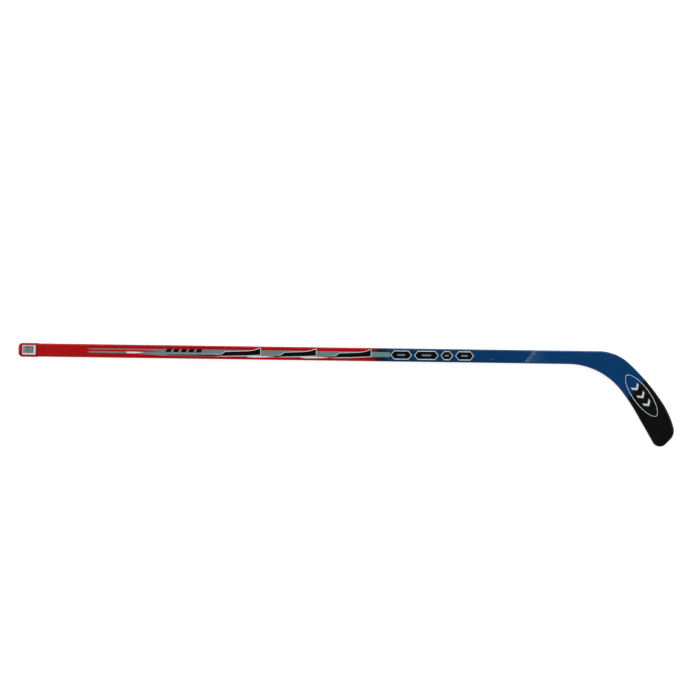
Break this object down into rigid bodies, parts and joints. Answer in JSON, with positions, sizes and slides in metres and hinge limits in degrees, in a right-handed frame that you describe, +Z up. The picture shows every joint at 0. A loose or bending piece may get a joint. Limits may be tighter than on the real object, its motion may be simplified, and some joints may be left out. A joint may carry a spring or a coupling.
{
  "type": "ice hockey stick",
  "caption": "Wooden ice hockey stick with a straight laminated shaft, rounded butt cap, printed film and a curved blade under a glass-fibre sleeve.",
  "frame": {"origin": "bottom centre of the whole stick's box, on the surface it lies on", "axes": "+X along the shaft from the butt to the blade, +Y away from the blade's toe, +Z up out of the front face; the stick lies flat on its back"},
  "size_m": [1.474, 0.2138, 0.022],
  "materials": {
    "butt_cap": "glossy moulded red",
    "label_paper": "satin, grey bars",
    "shaft_film": "glossy lacquer, red fading to dark blue",
    "aspen_ply": "sanded",
    "birch_ply": "sanded",
    "glass_laminate": "resin-bonded glass fibre",
    "ash_core": "sanded",
    "blade_sleeve": "lacquered glass fibre, dark blue fading to black",
    "silver_ink": "silver-grey under lacquer",
    "black_ink": "black under lacquer",
    "badge_ink": "pale grey under lacquer"
  },
  "bodies": {
    "root": {"butt_cap": "butt_cap", "barcode_label": "label_paper", "shaft_film_wrap": "shaft_film", "shaft_centre_ply": "aspen_ply", "shaft_front_core_ply": "aspen_ply", "shaft_back_core_ply": "aspen_ply", "shaft_front_birch_ply": "birch_ply", "shaft_back_birch_ply": "birch_ply", "shaft_front_glass_sheet": "glass_laminate", "shaft_back_glass_sheet": "glass_laminate", "blade_core": "ash_core", "blade_front_ply": "birch_ply", "blade_back_ply": "birch_ply", "throat_front_wedge": "ash_core", "throat_back_wedge": "ash_core", "blade_glass_sleeve": "blade_sleeve", "streak_print": "silver_ink", "gem_outline_print": "silver_ink", "sabre_print": "black_ink", "gem_print": "black_ink", "blade_badge_print": "badge_ink"}
  },
  "joints": []
}
